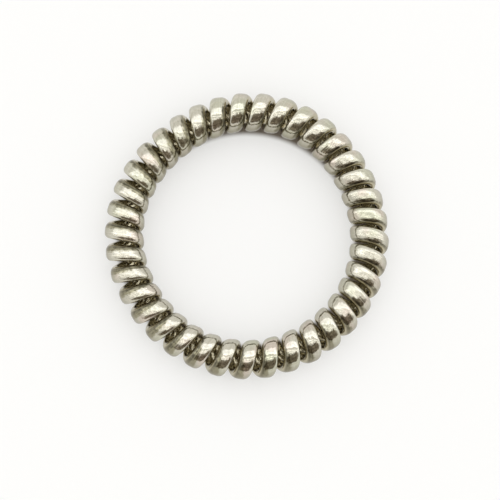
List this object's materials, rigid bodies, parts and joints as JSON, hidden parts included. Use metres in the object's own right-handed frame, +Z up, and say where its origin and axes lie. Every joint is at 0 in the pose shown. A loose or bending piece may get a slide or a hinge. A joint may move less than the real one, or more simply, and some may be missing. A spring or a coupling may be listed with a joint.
{
  "type": "spiral hair tie",
  "caption": "Ring-shaped hair tie made of one coiled plastic strand with a metallised champagne silver finish.",
  "frame": {"origin": "centre of the ring, on the plane it lies on", "axes": "+Z up along the ring's axis, through the hole; +X and +Y in the plane of the ring, the widest-spread turns lie toward -Y, 90 degrees clockwise of +X seen from above"},
  "size_m": [0.0542, 0.0556, 0.0076],
  "materials": {
    "coil": "champagne silver metallised coat, glossy, over moulded plastic"
  },
  "bodies": {
    "root": {"spiral_coil": "coil"}
  },
  "joints": []
}
